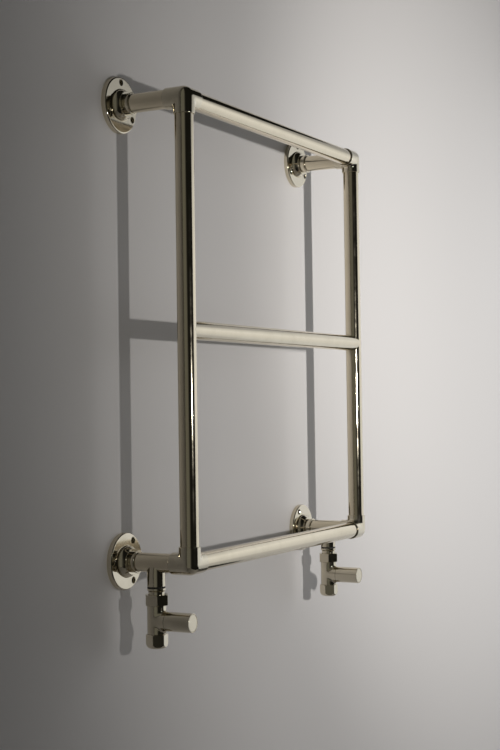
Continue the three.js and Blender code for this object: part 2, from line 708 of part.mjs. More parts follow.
function handleScrew() {
  const head = HANDLE_SCREW_HEAD_DIAMETER / 2;
  const thread = HANDLE_SCREW_THREAD / 2;
  const headFoot = HANDLE_SCREW_SEAT + SEAT_GAP;
  const headTop = headFoot + HANDLE_SCREW_HEAD_HEIGHT;
  const tip = SPINDLE_END - HANDLE_SCREW_LENGTH;
  const blank = turned([
    [0, tip],
    [thread, tip],
    [thread, headFoot],
    [head, headFoot],
    [head, headTop],
    [0, headTop],
  ], VALVE_SIDES);
  const slot = new THREE.BoxGeometry(HANDLE_SCREW_HEAD_DIAMETER + 1, 1.2, HANDLE_SCREW_HEAD_HEIGHT);
  slot.translate(0, 0, headTop);
  return shaped([blank], [slot]);
}

function handleCap() {
  return rod(CAP_DIAMETER / 2, CAP_BACK, HANDLE_END - HANDLE_EDGE / 3, FITTING_SIDES);
}

// ---------------------------------------------------------------- air vent pieces
// Distances run from the top rail's centre line towards the wall.

function ventBoss() {
  const end = TUBE_RADIUS + VENT_BOSS_LENGTH;
  const outside = rod(VENT_BOSS_DIAMETER / 2, 0, end, VALVE_SIDES);
  const bore = rod(VENT_BORE / 2, -1, end + 1, VALVE_SIDES);
  const cope = along(rod(COPE_RADIUS, -TUBE_DIAMETER, TUBE_DIAMETER, TUBE_SIDES), '+X');
  return shaped([outside], [bore, cope]);
}

function ventScrew() {
  const bossEnd = TUBE_RADIUS + VENT_BOSS_LENGTH;
  const shank = VENT_BORE / 2 - RUN_GAP;
  const key = new THREE.BoxGeometry(VENT_KEY_SQUARE, VENT_KEY_SQUARE, VENT_KEY_LENGTH);
  key.translate(0, 0, bossEnd + RUN_GAP + VENT_KEY_LENGTH / 2);
  const tip = bossEnd - VENT_SCREW_INSET;
  const screw = turned([
    [0, tip],
    [VENT_PORT / 2, tip],
    [shank, tip + shank - VENT_PORT / 2],
    [shank, bossEnd + RUN_GAP * 2],
    [0, bossEnd + RUN_GAP * 2],
  ], VALVE_SIDES);
  return shaped([screw, key]);
}

// ---------------------------------------------------------------- assembly

const radiator = new THREE.Group();
radiator.name = 'towel_radiator';

const frame = addGroup(radiator, 0, -STANDOFF_REACH, 0);
const sides = [['left', -1], ['right', 1]];
const levels = [['top', 1], ['bottom', -1]];

for (const [side, signX] of sides) {
  const post = addPart(frame, `upright_${side}`, upright(), nickel());
  post.position.x = (signX * FRAME_WIDTH) / 2;
  post.rotation.z = signX > 0 ? Math.PI : 0;
}
addPart(frame, 'rail_top', topRail(), nickel()).position.z = FRAME_HEIGHT / 2;
addPart(frame, 'rail_middle', middleRail(), nickel());
addPart(frame, 'rail_bottom', endRail(), nickel()).position.z = -FRAME_HEIGHT / 2;

for (const [level, signZ] of levels) {
  for (const [side, signX] of sides) {
    const place = `${level}_${side}`;
    const corner = addGroup(frame, (signX * FRAME_WIDTH) / 2, 0, (signZ * FRAME_HEIGHT) / 2);

    // each fitting is the same casting, turned until its sockets face the three tubes
    const fitting = addPart(corner, `corner_${place}`, cornerFitting(), nickel());
    if (signX > 0 && signZ > 0) fitting.rotation.z = QUARTER_TURN;
    if (signX > 0 && signZ < 0) fitting.rotation.y = Math.PI;
    if (signX < 0 && signZ < 0) fitting.rotation.set(0, Math.PI, QUARTER_TURN);

    addPart(corner, `standoff_${place}`, standoff(signZ < 0), nickel());

    const wall = addGroup(corner, 0, STANDOFF_REACH, 0);
    wall.rotation.x = QUARTER_TURN;
    const plate = addPart(wall, `wall_plate_${place}`, wallPlate(), nickel());
    if (signZ < 0) plate.rotation.z = (signX * Math.PI) / (2 * SCREW_COUNT);
    addPart(wall, `wall_collar_${place}`, wallCollar(), nickel()).position.z = COLLAR_START;
  }
}

for (const [side, signX] of sides) {
  const valveZ = -FRAME_HEIGHT / 2 - VALVE_DROP;
  const valve = addGroup(radiator, (signX * FRAME_WIDTH) / 2, -VALVE_OFFSET, valveZ);
  const unionTurn = signX < 0 ? UNION_NUT_TURN : 180 - UNION_NUT_TURN;
  const pipeTurn = signX < 0 ? PIPE_NUT_TURN : 0;
  addPart(valve, `tail_stub_${side}`, tailStub(), nickel());
  addPart(valve, `tail_seal_${side}`, tailSeal(), rubber());
  addPart(valve, `union_tail_${side}`, unionTail(), nickel());
  addPart(valve, `union_nut_${side}`, unionNut(unionTurn), nickel());
  addPart(valve, `valve_body_${side}`, valveBody(), nickel());
  addPart(valve, `pipe_nut_${side}`, pipeNut(pipeTurn), nickel());
  addPart(valve, `olive_${side}`, olive(), brass());

  const headwork = addGroup(valve, 0, 0, 0);
  headwork.rotation.x = QUARTER_TURN;
  addPart(headwork, `bonnet_${side}`, bonnet(), brass());
  addPart(headwork, `spindle_${side}`, spindle(), brass());
  addPart(headwork, `spindle_o_ring_${side}`, oRing(), rubber());
  addPart(headwork, `valve_plug_${side}`, valvePlug(), brass());
  addPart(headwork, `plug_washer_${side}`, plugWasher(), rubber());
  addPart(headwork, `handle_${side}`, handle(), nickel());
  addPart(headwork, `handle_screw_${side}`, handleScrew(), steel());
  addPart(headwork, `handle_cap_${side}`, handleCap(), nickel());
}

const ventX = FRAME_WIDTH / 2 - VENT_FROM_UPRIGHT;
const vent = addGroup(frame, ventX, 0, FRAME_HEIGHT / 2);
vent.rotation.x = -QUARTER_TURN;
addPart(vent, 'vent_boss', ventBoss(), nickel());
addPart(vent, 'vent_screw', ventScrew(), nickel());

export default radiator;
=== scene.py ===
# Wall-hung towel radiator of polished nickel tube, with a manual valve under each lower standoff.
# Each section below models one piece, or one group of like pieces, in the order in which they go together.
# Lengths are in metres. +Z is up and +Y runs into the wall, whose surface is y = 0.

from math import ceil, cos, pi, radians, sin, tan

import bmesh
import bpy
from mathutils import Matrix, Vector


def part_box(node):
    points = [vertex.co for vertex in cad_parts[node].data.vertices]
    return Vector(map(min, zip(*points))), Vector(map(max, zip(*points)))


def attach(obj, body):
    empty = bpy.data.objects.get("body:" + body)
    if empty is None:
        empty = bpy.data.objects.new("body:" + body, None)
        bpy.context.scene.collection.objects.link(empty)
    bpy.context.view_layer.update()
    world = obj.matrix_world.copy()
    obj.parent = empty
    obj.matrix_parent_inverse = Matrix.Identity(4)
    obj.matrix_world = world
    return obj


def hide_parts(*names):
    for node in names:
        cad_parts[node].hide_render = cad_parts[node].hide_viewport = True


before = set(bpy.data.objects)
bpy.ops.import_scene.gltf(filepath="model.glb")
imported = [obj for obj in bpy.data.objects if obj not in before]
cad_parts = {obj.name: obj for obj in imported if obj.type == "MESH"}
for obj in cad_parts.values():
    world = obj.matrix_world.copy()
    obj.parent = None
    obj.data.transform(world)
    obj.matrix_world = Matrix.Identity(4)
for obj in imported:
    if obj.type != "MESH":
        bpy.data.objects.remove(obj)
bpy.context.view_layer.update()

MM = 0.001


# ---------------------------------------------------------------- uprights
# Two lengths of 28 mm brass tube, polished and nickel plated. Each runs between two corner fittings and
# is soldered into their sockets. A buffed finish with faint lines along the tube covers it all over.

AROUND = 96        # steps round each turned piece; a multiple of 8, so that mitres meet vertex to vertex
SMALL_AROUND = 48
merge_distance = 0.005 * MM
sliver_size = 0.001 * MM
arc_step = radians(15)
flat_face_angle = radians(32)
tube_wall = 1.5 * MM
nickel_colour = (0.66, 0.605, 0.485, 1)
handled_nickel_colour = (0.60, 0.548, 0.43, 1)
worn_nickel_colour = (0.71, 0.625, 0.47, 1)


def metal_finish_group():
    """Shared finish of every metal: cloudy handling marks, fine buffing lines and bright worn edges."""
    group = bpy.data.node_groups.new("metal_finish", "ShaderNodeTree")
    sockets = (
        ("Polished", "NodeSocketColor", None),
        ("Handled", "NodeSocketColor", None),
        ("Worn", "NodeSocketColor", None),
        ("Line Stretch", "NodeSocketVector", (1, 1, 1)),
        ("Smooth Roughness", "NodeSocketFloat", 0.05),
        ("Handled Roughness", "NodeSocketFloat", 0.12),
        ("Relief", "NodeSocketFloat", 0.05),
    )
    for name, kind, value in sockets:
        socket = group.interface.new_socket(name, in_out="INPUT", socket_type=kind)
        if value is not None:
            socket.default_value = value
    for name, kind in (("Color", "Color"), ("Roughness", "Float"), ("Normal", "Vector")):
        group.interface.new_socket(name, in_out="OUTPUT", socket_type=f"NodeSocket{kind}")
    nodes, links = group.nodes, group.links
    given = nodes.new("NodeGroupInput")
    out = nodes.new("NodeGroupOutput")
    place = nodes.new("ShaderNodeTexCoord")

    clouds = nodes.new("ShaderNodeTexNoise")
    clouds.inputs["Scale"].default_value = 34
    clouds.inputs["Detail"].default_value = 5
    clouds.inputs["Roughness"].default_value = 0.6
    links.new(place.outputs["Object"], clouds.inputs["Vector"])
    handled = nodes.new("ShaderNodeMapRange")
    handled.inputs["From Min"].default_value = 0.42
    handled.inputs["From Max"].default_value = 0.72
    links.new(clouds.outputs["Fac"], handled.inputs["Value"])

    stretch = nodes.new("ShaderNodeVectorMath")
    stretch.operation = "MULTIPLY"
    links.new(place.outputs["Object"], stretch.inputs[0])
    links.new(given.outputs["Line Stretch"], stretch.inputs[1])
    lines = nodes.new("ShaderNodeTexNoise")
    lines.inputs["Scale"].default_value = 2600
    lines.inputs["Detail"].default_value = 2
    links.new(stretch.outputs["Vector"], lines.inputs["Vector"])

    edges = nodes.new("ShaderNodeNewGeometry")
    wear = nodes.new("ShaderNodeMapRange")
    wear.inputs["From Min"].default_value = 0.53
    wear.inputs["From Max"].default_value = 0.62
    links.new(edges.outputs["Pointiness"], wear.inputs["Value"])
    wear_share = nodes.new("ShaderNodeMath")
    wear_share.operation = "MULTIPLY"
    wear_share.inputs[1].default_value = 0.5
    links.new(wear.outputs["Result"], wear_share.inputs[0])

    body_colour = nodes.new("ShaderNodeMix")
    body_colour.data_type = "RGBA"
    links.new(handled.outputs["Result"], body_colour.inputs["Factor"])
    links.new(given.outputs["Polished"], body_colour.inputs["A"])
    links.new(given.outputs["Handled"], body_colour.inputs["B"])
    edge_colour = nodes.new("ShaderNodeMix")
    edge_colour.data_type = "RGBA"
    links.new(wear_share.outputs["Value"], edge_colour.inputs["Factor"])
    links.new(body_colour.outputs["Result"], edge_colour.inputs["A"])
    links.new(given.outputs["Worn"], edge_colour.inputs["B"])
    links.new(edge_colour.outputs["Result"], out.inputs["Color"])

    roughness = nodes.new("ShaderNodeMix")
    links.new(handled.outputs["Result"], roughness.inputs["Factor"])
    links.new(given.outputs["Smooth Roughness"], roughness.inputs["A"])
    links.new(given.outputs["Handled Roughness"], roughness.inputs["B"])
    line_roughness = nodes.new("ShaderNodeMath")
    line_roughness.operation = "MULTIPLY_ADD"
    line_roughness.inputs[1].default_value = 0.03
    links.new(lines.outputs["Fac"], line_roughness.inputs[0])
    links.new(roughness.outputs["Result"], line_roughness.inputs[2])
    links.new(line_roughness.outputs["Value"], out.inputs["Roughness"])

    relief = nodes.new("ShaderNodeBump")
    relief.inputs["Distance"].default_value = 0.02 * MM
    links.new(given.outputs["Relief"], relief.inputs["Strength"])
    links.new(lines.outputs["Fac"], relief.inputs["Height"])
    links.new(relief.outputs["Normal"], out.inputs["Normal"])
    return group


METAL_FINISH = metal_finish_group()


def metal(name, polished, handled, worn, line_stretch=(1, 1, 1), smooth=0.05, dull=0.12, relief=0.05):
    """A metal whose buffing lines run along the axis that has the small stretch."""
    material = bpy.data.materials.new(name)
    material.use_nodes = True
    nodes, links = material.node_tree.nodes, material.node_tree.links
    shader = nodes["Principled BSDF"]
    shader.inputs["Metallic"].default_value = 1
    finish = nodes.new("ShaderNodeGroup")
    finish.node_tree = METAL_FINISH
    finish.inputs["Polished"].default_value = polished
    finish.inputs["Handled"].default_value = handled
    finish.inputs["Worn"].default_value = worn
    finish.inputs["Line Stretch"].default_value = line_stretch
    finish.inputs["Smooth Roughness"].default_value = smooth
    finish.inputs["Handled Roughness"].default_value = dull
    finish.inputs["Relief"].default_value = relief
    links.new(finish.outputs["Color"], shader.inputs["Base Color"])
    links.new(finish.outputs["Roughness"], shader.inputs["Roughness"])
    links.new(finish.outputs["Normal"], shader.inputs["Normal"])
    return material


def nickel(name, line_stretch):
    """The nickel plating, buffed in one direction."""
    return metal(name, nickel_colour, handled_nickel_colour, worn_nickel_colour, line_stretch)


nickel_up = nickel("nickel_buffed_up", (1, 1, 0.02))
nickel_across = nickel("nickel_buffed_across", (0.02, 1, 1))
nickel_to_wall = nickel("nickel_buffed_to_wall", (1, 0.02, 1))
nickel_cast = nickel("nickel_cast", (1, 1, 1))

X_AXIS, Y_AXIS, Z_AXIS = Vector((1, 0, 0)), Vector((0, 1, 0)), Vector((0, 0, 1))


def alone(piece, mode="OBJECT"):
    """Select one object and nothing else, and leave nothing selected inside it."""
    if bpy.context.mode != "OBJECT":
        bpy.ops.object.mode_set(mode="OBJECT")
    bpy.ops.object.select_all(action="DESELECT")
    piece.select_set(True)
    bpy.context.view_layer.objects.active = piece
    if mode == "EDIT":
        bpy.ops.object.mode_set(mode="EDIT")
        bpy.ops.mesh.select_all(action="DESELECT")


def apply_modifier(piece, kind, **settings):
    """Add a modifier with these settings and apply it at once."""
    alone(piece)
    modifier = piece.modifiers.new(kind.lower(), kind)
    for setting, value in settings.items():
        setattr(modifier, setting, value)
    bpy.ops.object.modifier_apply(modifier=modifier.name)


def softened(outline):
    """Corners (radius, height, rounding) as points, with each rounded corner as an arc."""
    points = []
    for index, (radius, height, rounding) in enumerate(outline):
        corner = Vector((radius, height))
        if rounding == 0:
            points.append(corner)
            continue
        before = (Vector(outline[index - 1][:2]) - corner).normalized()
        after = (Vector(outline[(index + 1) % len(outline)][:2]) - corner).normalized()
        half_angle = before.angle(after) / 2
        inwards = (before + after).normalized()
        centre = corner + inwards * rounding / sin(half_angle)
        start = (before / tan(half_angle) - inwards / sin(half_angle)).normalized()
        end = (after / tan(half_angle) - inwards / sin(half_angle)).normalized()
        steps = max(3, ceil((pi - 2 * half_angle) / arc_step))
        points += [centre + start.slerp(end, step / steps) * rounding for step in range(steps + 1)]
    return points


def turned(name, outline, foot, axis, around=AROUND):
    """A round piece: an outline drawn beside its axis and spun about it, as on a lathe."""
    beside = Z_AXIS if abs(axis.x) > 0.5 else X_AXIS
    points = softened(outline)
    bpy.ops.object.select_all(action="DESELECT")
    bpy.ops.mesh.primitive_circle_add(vertices=len(points), radius=1)
    piece = bpy.context.object
    piece.name = name
    for vertex, point in zip(piece.data.vertices, points):
        vertex.co = foot + beside * point.x + axis * point.y
    alone(piece, "EDIT")
    bpy.ops.mesh.select_all(action="SELECT")
    bpy.ops.mesh.spin(steps=around, angle=2 * pi, center=foot, axis=axis)
    bpy.ops.mesh.select_all(action="SELECT")
    bpy.ops.mesh.remove_doubles(threshold=merge_distance)
    bpy.ops.mesh.dissolve_degenerate(threshold=sliver_size)
    bpy.ops.mesh.delete_loose()
    bpy.ops.mesh.select_all(action="SELECT")
    bpy.ops.mesh.normals_make_consistent(inside=False)
    bpy.ops.object.mode_set(mode="OBJECT")
    return piece


def ring(inner, outer, low, high, rounding=0):
    """The outline of a plain ring or tube."""
    return [(inner, low, 0), (outer, low, rounding), (outer, high, rounding), (inner, high, 0)]


def finished(piece, material, body, slot, *nodes):
    """Smooth the piece, keep its flat faces flat, and hang it on its body in place of its CAD nodes."""
    alone(piece)
    bpy.ops.object.shade_smooth_by_angle(angle=flat_face_angle)
    apply_modifier(piece, "WEIGHTED_NORMAL", keep_sharp=True, weight=60)
    piece.data.materials.clear()
    piece.data.materials.append(material)
    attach(piece, body)
    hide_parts(*nodes)


def middle_of(node):
    """The middle of a CAD node's box."""
    low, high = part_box(node)
    return (low + high) / 2


def size_of(node):
    """The three sides of a CAD node's box."""
    low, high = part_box(node)
    return high - low


tube_radius = size_of("upright_left").x / 2
for side in ("left", "right"):
    node = f"upright_{side}"
    half_length = size_of(node).z / 2
    outline = ring(tube_radius - tube_wall, tube_radius, -half_length, half_length)
    upright = turned(f"upright_tube_{side}", outline, middle_of(node), Z_AXIS)
    finished(upright, nickel_up, "root", "polished_nickel", node)


# ---------------------------------------------------------------- rails
# Three lengths of the same tube. The top and bottom rail are soldered into the corner fittings. The
# middle rail has fish-mouth ends that fit the uprights and are brazed to them.

braze_gap = 0.04 * MM
fish_mouth_reach = 40 * MM
OVERRUN = MM       # how far a cutter reaches past the face that it opens


def bar(name, radius, foot, axis, low, high, around=AROUND):
    """A plain round bar, which serves as a tool for cut."""
    return turned(name, [(0, low, 0), (radius, low, 0), (radius, high, 0), (0, high, 0)], foot, axis, around)


def cut(piece, tool, operation="DIFFERENCE"):
    """Cut the tool out of the piece, or join the two, or keep what both share. The tool is used up."""
    apply_modifier(piece, "BOOLEAN", operation=operation, object=tool, solver="MANIFOLD")
    bpy.data.objects.remove(tool)


for level in ("top", "middle", "bottom"):
    node = f"rail_{level}"
    half_length = size_of(node).x / 2
    outline = ring(tube_radius - tube_wall, tube_radius, -half_length, half_length)
    rail = turned(f"{level}_rail_tube", outline, middle_of(node), X_AXIS)
    if level == "middle":
        for side in ("left", "right"):
            cut(rail, bar("fish_mouth", tube_radius + braze_gap, middle_of(f"upright_{side}"), Z_AXIS,
                          -fish_mouth_reach, fish_mouth_reach))
    finished(rail, nickel_across, "root", "polished_nickel", node)


# ---------------------------------------------------------------- corner fittings
# Four brass castings, ground smooth and plated: three sockets meet in a ball-shaped corner, with soft
# fillets between them. The mouths are turned, and leave a hair-fine gap round each soldered tube.

socket_reach_level = 28 * MM
socket_reach_upright = 25 * MM
socket_wall = 1.7 * MM
inner_fillet = 4.2 * MM
lip_round = 0.8 * MM
crease_angle = radians(4)
rim_angle = radians(60)
mitre_merge_distance = 0.01 * MM
socket_radius = size_of("corner_top_left").x - socket_reach_level


def tube_wall_along(axis, radius, start, end):
    """An open round wall along an axis from the origin, with its vertices on multiples of its step."""
    bpy.ops.object.select_all(action="DESELECT")
    bpy.ops.mesh.primitive_cylinder_add(
        vertices=AROUND, radius=radius, depth=end - start, end_fill_type="NOTHING")
    wall = bpy.context.object
    turn = Z_AXIS.rotation_difference(axis).to_matrix().to_4x4()
    wall.data.transform(Matrix.Translation(axis * (start + end) / 2) @ turn)
    return wall


def mitre(piece, normal, drop=True):
    """Cut the piece through the origin, and drop what lies on the normal's side."""
    alone(piece, "EDIT")
    bpy.ops.mesh.select_all(action="SELECT")
    bpy.ops.mesh.bisect(plane_co=(0, 0, 0), plane_no=normal, clear_outer=drop, threshold=1e-7)
    bpy.ops.object.mode_set(mode="OBJECT")


def merge_points(piece, distance):
    """Merge points that nearly touch, and turn all normals outwards."""
    alone(piece, "EDIT")
    bpy.ops.mesh.select_all(action="SELECT")
    bpy.ops.mesh.remove_doubles(threshold=distance)
    bpy.ops.mesh.normals_make_consistent(inside=False)
    bpy.ops.object.mode_set(mode="OBJECT")


def welded(pieces, name):
    """Join pieces whose mitred edges meet, and weld those edges together."""
    alone(pieces[0])
    for piece in pieces:
        piece.select_set(True)
    bpy.ops.object.join()
    whole = bpy.context.object
    whole.name = name
    merge_points(whole, mitre_merge_distance)
    return whole


def fillet_creases(piece, width):
    """Round the hollow creases where two round walls of the same size cross."""
    alone(piece, "EDIT")
    shape = bmesh.from_edit_mesh(piece.data)
    for edge in shape.edges:
        if len(edge.link_faces) == 2 and edge.calc_face_angle_signed() < -crease_angle:
            edge.select_set(True)
    bmesh.update_edit_mesh(piece.data)
    bpy.ops.mesh.bevel(offset=width, segments=8, profile=0.5, clamp_overlap=False)
    bpy.ops.object.mode_set(mode="OBJECT")


def soften_rims(piece, width):
    """Round the sharp outer edges."""
    apply_modifier(piece, "BEVEL", width=width, segments=3, limit_method="ANGLE", angle_limit=rim_angle,
                   use_clamp_overlap=False)


def copy_of(piece, name, place):
    """A copy with a mesh of its own, moved and turned in its mesh."""
    alone(piece)
    bpy.ops.object.duplicate()
    copy = bpy.context.object
    copy.name = name
    copy.data.transform(place)
    return copy


legs = ((X_AXIS, socket_reach_level), (Y_AXIS, socket_reach_level), (-Z_AXIS, socket_reach_upright))
walls = []
for axis, reach in legs:
    leg = tube_wall_along(axis, socket_radius, 0, reach)
    mitre(leg, -axis)
    for other, _ in legs:
        if other != axis:
            mitre(leg, other - axis)
    walls.append(leg)
bpy.ops.object.select_all(action="DESELECT")
bpy.ops.mesh.primitive_uv_sphere_add(segments=AROUND, ring_count=AROUND // 2, radius=socket_radius)
ball = bpy.context.object
for axis, _ in legs:
    mitre(ball, axis)
casting = welded(walls + [ball], "casting")
fillet_creases(casting, inner_fillet)
apply_modifier(casting, "SOLIDIFY", thickness=socket_wall, offset=-1, use_even_offset=True)
soften_rims(casting, lip_round)

quarter = Matrix.Rotation(pi / 2, 4, "Z")
flip = Matrix.Rotation(pi, 4, "Y")
turns = {"top_left": Matrix(), "top_right": quarter, "bottom_right": flip, "bottom_left": flip @ quarter}
for place, turn in turns.items():
    level, side = place.split("_")
    centre = middle_of(f"upright_{side}")
    centre.z = middle_of(f"rail_{level}").z
    fitting = copy_of(casting, f"corner_fitting_{place}", Matrix.Translation(centre) @ turn)
    finished(fitting, nickel_cast, "root", "polished_nickel", f"corner_{place}")
bpy.data.objects.remove(casting)


# ---------------------------------------------------------------- standoffs
# Four short lengths of the same tube carry the frame off the wall. Each is soldered into its corner
# fitting and goes through the hub of its wall plate. The lower two also feed the valves.

for place in turns:
    node = f"standoff_{place}"
    half_length = size_of(node).y / 2
    outline = ring(tube_radius - tube_wall, tube_radius, -half_length, half_length)
    standoff = turned(f"standoff_tube_{place}", outline, middle_of(node), Y_AXIS)
    finished(standoff, nickel_to_wall, "root", "polished_nickel", node)


# ---------------------------------------------------------------- wall plates
# Four turned brass discs, polished and plated. A domed hub with a raised ring holds the standoff, and
# three countersunk holes take the screws that hold the radiator on the wall.

plate_thickness = 8 * MM
plate_edge_round = 2.2 * MM
plate_back_round = 0.3 * MM
PLATE_AROUND = 128
hub_base_radius = 24 * MM
hub_ring_radius = 19.3 * MM
hub_ring_length = 1.8 * MM
hub_foot_round = 0.25 * MM
hub_ring_round = 0.5 * MM
hub_mouth_round = 0.3 * MM
hub_floor = 7 * MM
bore_radius = tube_radius + 0.3 * MM
screw_circle_radius = 34 * MM
screw_hole_radius = 4.25 * MM
screw_sink_radius = 5.3 * MM
screw_sink_depth = 1.05 * MM
holes_in_plate = 3
first_hole_angle = {"top_left": 90, "top_right": 90, "bottom_left": 60, "bottom_right": 120}
plate_radius = size_of("wall_plate_top_left").x / 2
hub_height = size_of("wall_plate_top_left").y


def dome(steps=14):
    """The hub's wall from its base to just under its ring, upright at the foot and easing inwards."""
    height = hub_height - hub_ring_length - plate_thickness
    corners = []
    for step in range(1, steps + 1):
        share = step / steps
        radius = hub_ring_radius + (hub_base_radius - hub_ring_radius) * cos(share * pi / 2)
        corners.append((radius, plate_thickness + height * share, 0))
    return corners


def screw_holes(place):
    """The way from a plate's axis to each of its screw holes."""
    apart = 2 * pi / holes_in_plate
    angles = [radians(first_hole_angle[place]) + apart * hole for hole in range(holes_in_plate)]
    return [Vector((cos(angle), 0, sin(angle))) * screw_circle_radius for angle in angles]


for place in first_hole_angle:
    node = f"wall_plate_{place}"
    foot = middle_of(node)
    foot.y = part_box(node)[1].y
    outline = [
        (0, 0, 0),
        (plate_radius, 0, plate_back_round),
        (plate_radius, plate_thickness, plate_edge_round),
        (hub_base_radius, plate_thickness, hub_foot_round),
        *dome(),
        (hub_ring_radius, hub_height, hub_ring_round),
        (bore_radius, hub_height, hub_mouth_round),
        (bore_radius, hub_floor, 0),
        (0, hub_floor, 0),
    ]
    plate = turned(f"wall_rose_{place}", outline, foot, -Y_AXIS, around=PLATE_AROUND)
    outline = [
        (0, -OVERRUN, 0),
        (screw_hole_radius, -OVERRUN, 0),
        (screw_hole_radius, plate_thickness - screw_sink_depth, 0),
        (screw_sink_radius + OVERRUN, plate_thickness + OVERRUN, 0),
        (0, plate_thickness + OVERRUN, 0),
    ]
    for across in screw_holes(place):
        cut(plate, turned("countersink", outline, foot + across, -Y_AXIS, around=SMALL_AROUND))
    finished(plate, nickel_cast, "root", "polished_nickel", node)


# ---------------------------------------------------------------- collars
# A turned collar slides on each standoff up to the hub, and hides the joint there. It is a plain waist
# with one rounded bead towards the frame.

collar_waist_radius = 15.7 * MM
collar_bead_start = 7.8 * MM
collar_bead_length = 2.2 * MM
collar_bead_round = 0.9 * MM
collar_lip_radius = 14.9 * MM

for place in turns:
    node = f"wall_collar_{place}"
    foot = middle_of(node)
    foot.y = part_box(node)[1].y
    bead_radius = size_of(node).x / 2
    bead_end = collar_bead_start + collar_bead_length
    length = size_of(node).y
    outline = [
        (bore_radius, 0, 0),
        (collar_waist_radius, 0, 0.2 * MM),
        (collar_waist_radius, collar_bead_start, 0.4 * MM),
        (bead_radius, collar_bead_start, collar_bead_round),
        (bead_radius, bead_end, collar_bead_round),
        (collar_lip_radius, bead_end, 0.1 * MM),
        (collar_lip_radius, length, 0.3 * MM),
        (bore_radius, length, 0),
    ]
    collar = turned(f"standoff_collar_{place}", outline, foot, -Y_AXIS)
    finished(collar, nickel_cast, "root", "polished_nickel", node)


# ---------------------------------------------------------------- valve tails
# A coped stub is brazed under each lower standoff. The union tail screws into it against a black sealing
# ring, and its flange dishes in to a neck that carries the union nut.

stub_thread_radius = 10 * MM
stub_rim_round = 0.35 * MM
cope_reach = 30 * MM
seal_play = 0.4 * MM
seal_round = 0.5 * MM
tail_bore_radius = 7.5 * MM
tail_spigot_radius = 9.7 * MM
tail_flange_thickness = 3 * MM
tail_neck_radius = 12 * MM
tail_dish_round = 2.2 * MM
tail_collar_radius = 13.1 * MM
tail_collar_thickness = 3 * MM
tail_spigot_length = 13 * MM


def rubber_material():
    """Black rubber: matt, faintly mottled, with a fine moulded grain."""
    material = bpy.data.materials.new("black_rubber")
    material.use_nodes = True
    nodes, links = material.node_tree.nodes, material.node_tree.links
    shader = nodes["Principled BSDF"]
    place = nodes.new("ShaderNodeTexCoord")
    grain = nodes.new("ShaderNodeTexNoise")
    grain.inputs["Scale"].default_value = 1800
    grain.inputs["Detail"].default_value = 3
    links.new(place.outputs["Object"], grain.inputs["Vector"])
    shade = nodes.new("ShaderNodeMix")
    shade.data_type = "RGBA"
    shade.inputs["A"].default_value = (0.010, 0.010, 0.009, 1)
    shade.inputs["B"].default_value = (0.026, 0.025, 0.023, 1)
    links.new(grain.outputs["Fac"], shade.inputs["Factor"])
    links.new(shade.outputs["Result"], shader.inputs["Base Color"])
    roughness = nodes.new("ShaderNodeMapRange")
    roughness.inputs["To Min"].default_value = 0.45
    roughness.inputs["To Max"].default_value = 0.75
    links.new(grain.outputs["Fac"], roughness.inputs["Value"])
    links.new(roughness.outputs["Result"], shader.inputs["Roughness"])
    relief = nodes.new("ShaderNodeBump")
    relief.inputs["Strength"].default_value = 0.3
    relief.inputs["Distance"].default_value = 0.05 * MM
    links.new(grain.outputs["Fac"], relief.inputs["Height"])
    links.new(relief.outputs["Normal"], shader.inputs["Normal"])
    return material


rubber = rubber_material()

for side in ("left", "right"):
    centre = middle_of(f"union_nut_{side}")
    centre.z = middle_of(f"handle_{side}").z
    levels = {node: [corner.z - centre.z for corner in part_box(f"{node}_{side}")]
              for node in ("tail_stub", "tail_seal", "union_tail")}
    standoff_middle = middle_of(f"standoff_bottom_{side}")

    stub_radius = size_of(f"tail_stub_{side}").x / 2
    stub_low, stub_high = levels["tail_stub"][0], standoff_middle.z - centre.z
    outline = [
        (stub_thread_radius, stub_low, 0),
        (stub_radius, stub_low, stub_rim_round),
        (stub_radius, stub_high, 0),
        (stub_thread_radius, stub_high, 0),
    ]
    stub = turned(f"stub_{side}", outline, centre, Z_AXIS)
    cut(stub, bar("cope", tube_radius + braze_gap, standoff_middle, Y_AXIS, -cope_reach, cope_reach))
    finished(stub, nickel_up, "root", "polished_nickel", f"tail_stub_{side}")

    low, high = levels["tail_seal"]
    seal_radius = size_of(f"tail_seal_{side}").x / 2
    outline = ring(tail_spigot_radius + seal_play, seal_radius, low, high, seal_round)
    seal = turned(f"sealing_ring_{side}", outline, centre, Z_AXIS)
    finished(seal, rubber, "root", "black_rubber", f"tail_seal_{side}")

    low, high = levels["union_tail"]
    flange_radius = size_of(f"union_tail_{side}").x / 2
    shoulder = high - tail_spigot_length
    flange_low = shoulder - tail_flange_thickness
    outline = [
        (tail_bore_radius, low, 0),
        (tail_collar_radius, low, 0.3 * MM),
        (tail_collar_radius, low + tail_collar_thickness, 0.3 * MM),
        (tail_neck_radius, low + tail_collar_thickness, 0.4 * MM),
        (tail_neck_radius, flange_low - (flange_radius - tail_neck_radius), tail_dish_round),
        (flange_radius, flange_low, 0.7 * MM),
        (flange_radius, shoulder, 0.5 * MM),
        (tail_spigot_radius, shoulder, 0),
        (tail_spigot_radius, high, 0.5 * MM),
        (tail_bore_radius, high, 0),
    ]
    tail = turned(f"union_tail_piece_{side}", outline, centre, Z_AXIS)
    finished(tail, nickel_up, "root", "polished_nickel", f"union_tail_{side}")


# ---------------------------------------------------------------- union nuts and compression nuts
# Hexagonal brass nuts, turned and plated. The union nut hangs on the tail's collar and pulls it down on
# the body. The smaller compression nut, rounded in to a nose, clamps the pipe and its olive.

